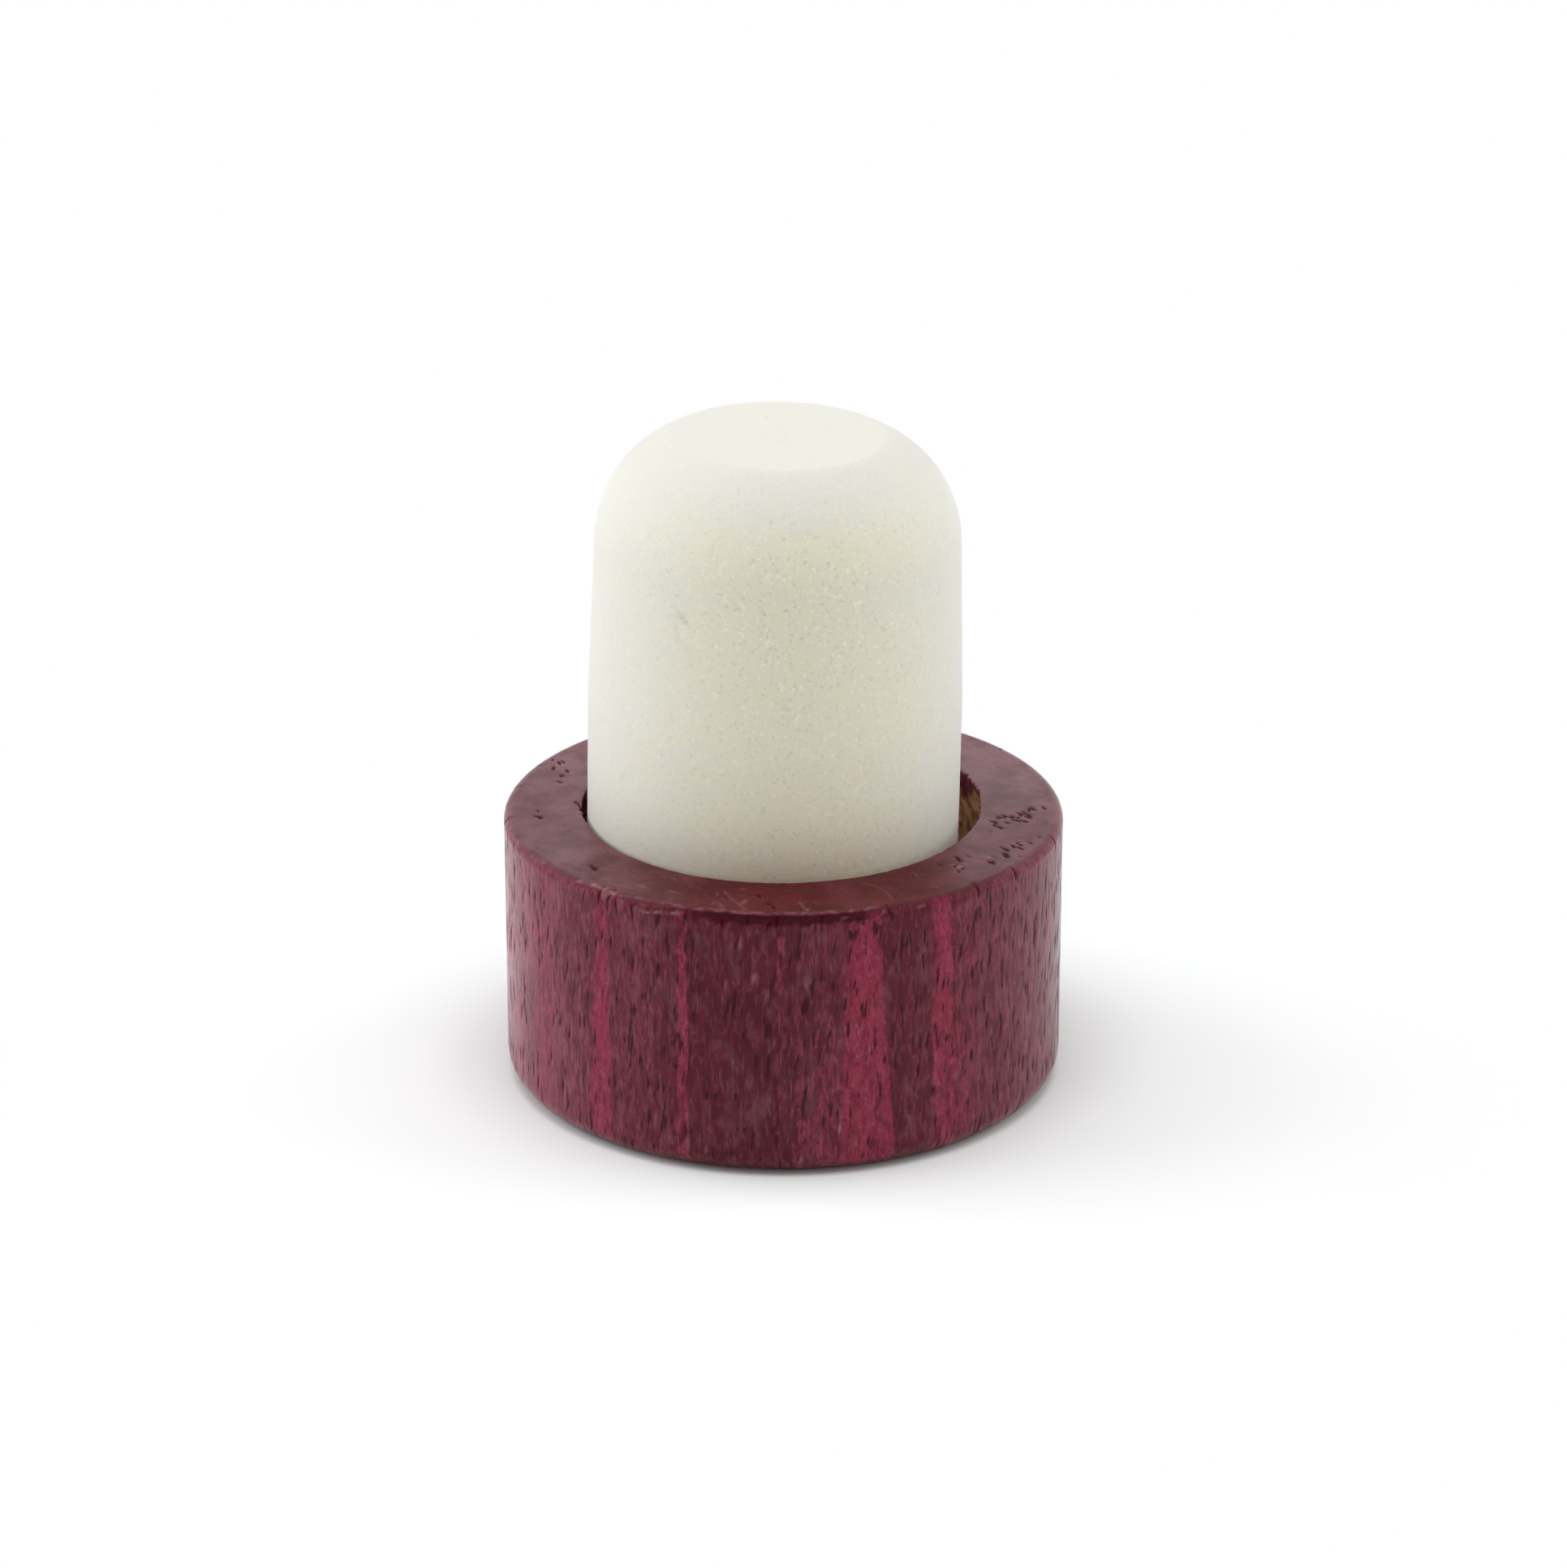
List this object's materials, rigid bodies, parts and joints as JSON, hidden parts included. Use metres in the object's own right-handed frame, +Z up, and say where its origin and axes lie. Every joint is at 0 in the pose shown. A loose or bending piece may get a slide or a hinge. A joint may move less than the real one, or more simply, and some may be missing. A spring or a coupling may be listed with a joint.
{
  "type": "cork stopper",
  "caption": "Bar-top bottle stopper: a foam cork shank with a rounded tip, glued into a turned, dyed wooden head that it stands on.",
  "frame": {"origin": "centre of the head's flat outer face, which the stopper stands on", "axes": "+Z up the head's axis, out of the face that sits on the bottle's lip and towards the shank's tip; +X is the way the shank leans"},
  "size_m": [0.0295, 0.0294, 0.0352],
  "materials": {
    "stained_wood": "burgundy dye under satin lacquer, grain along the axis",
    "cork_foam": "matte off-white foamed polymer, finely pored"
  },
  "bodies": {
    "root": {"wood_head": "stained_wood", "cork_shank": "cork_foam"}
  },
  "joints": []
}
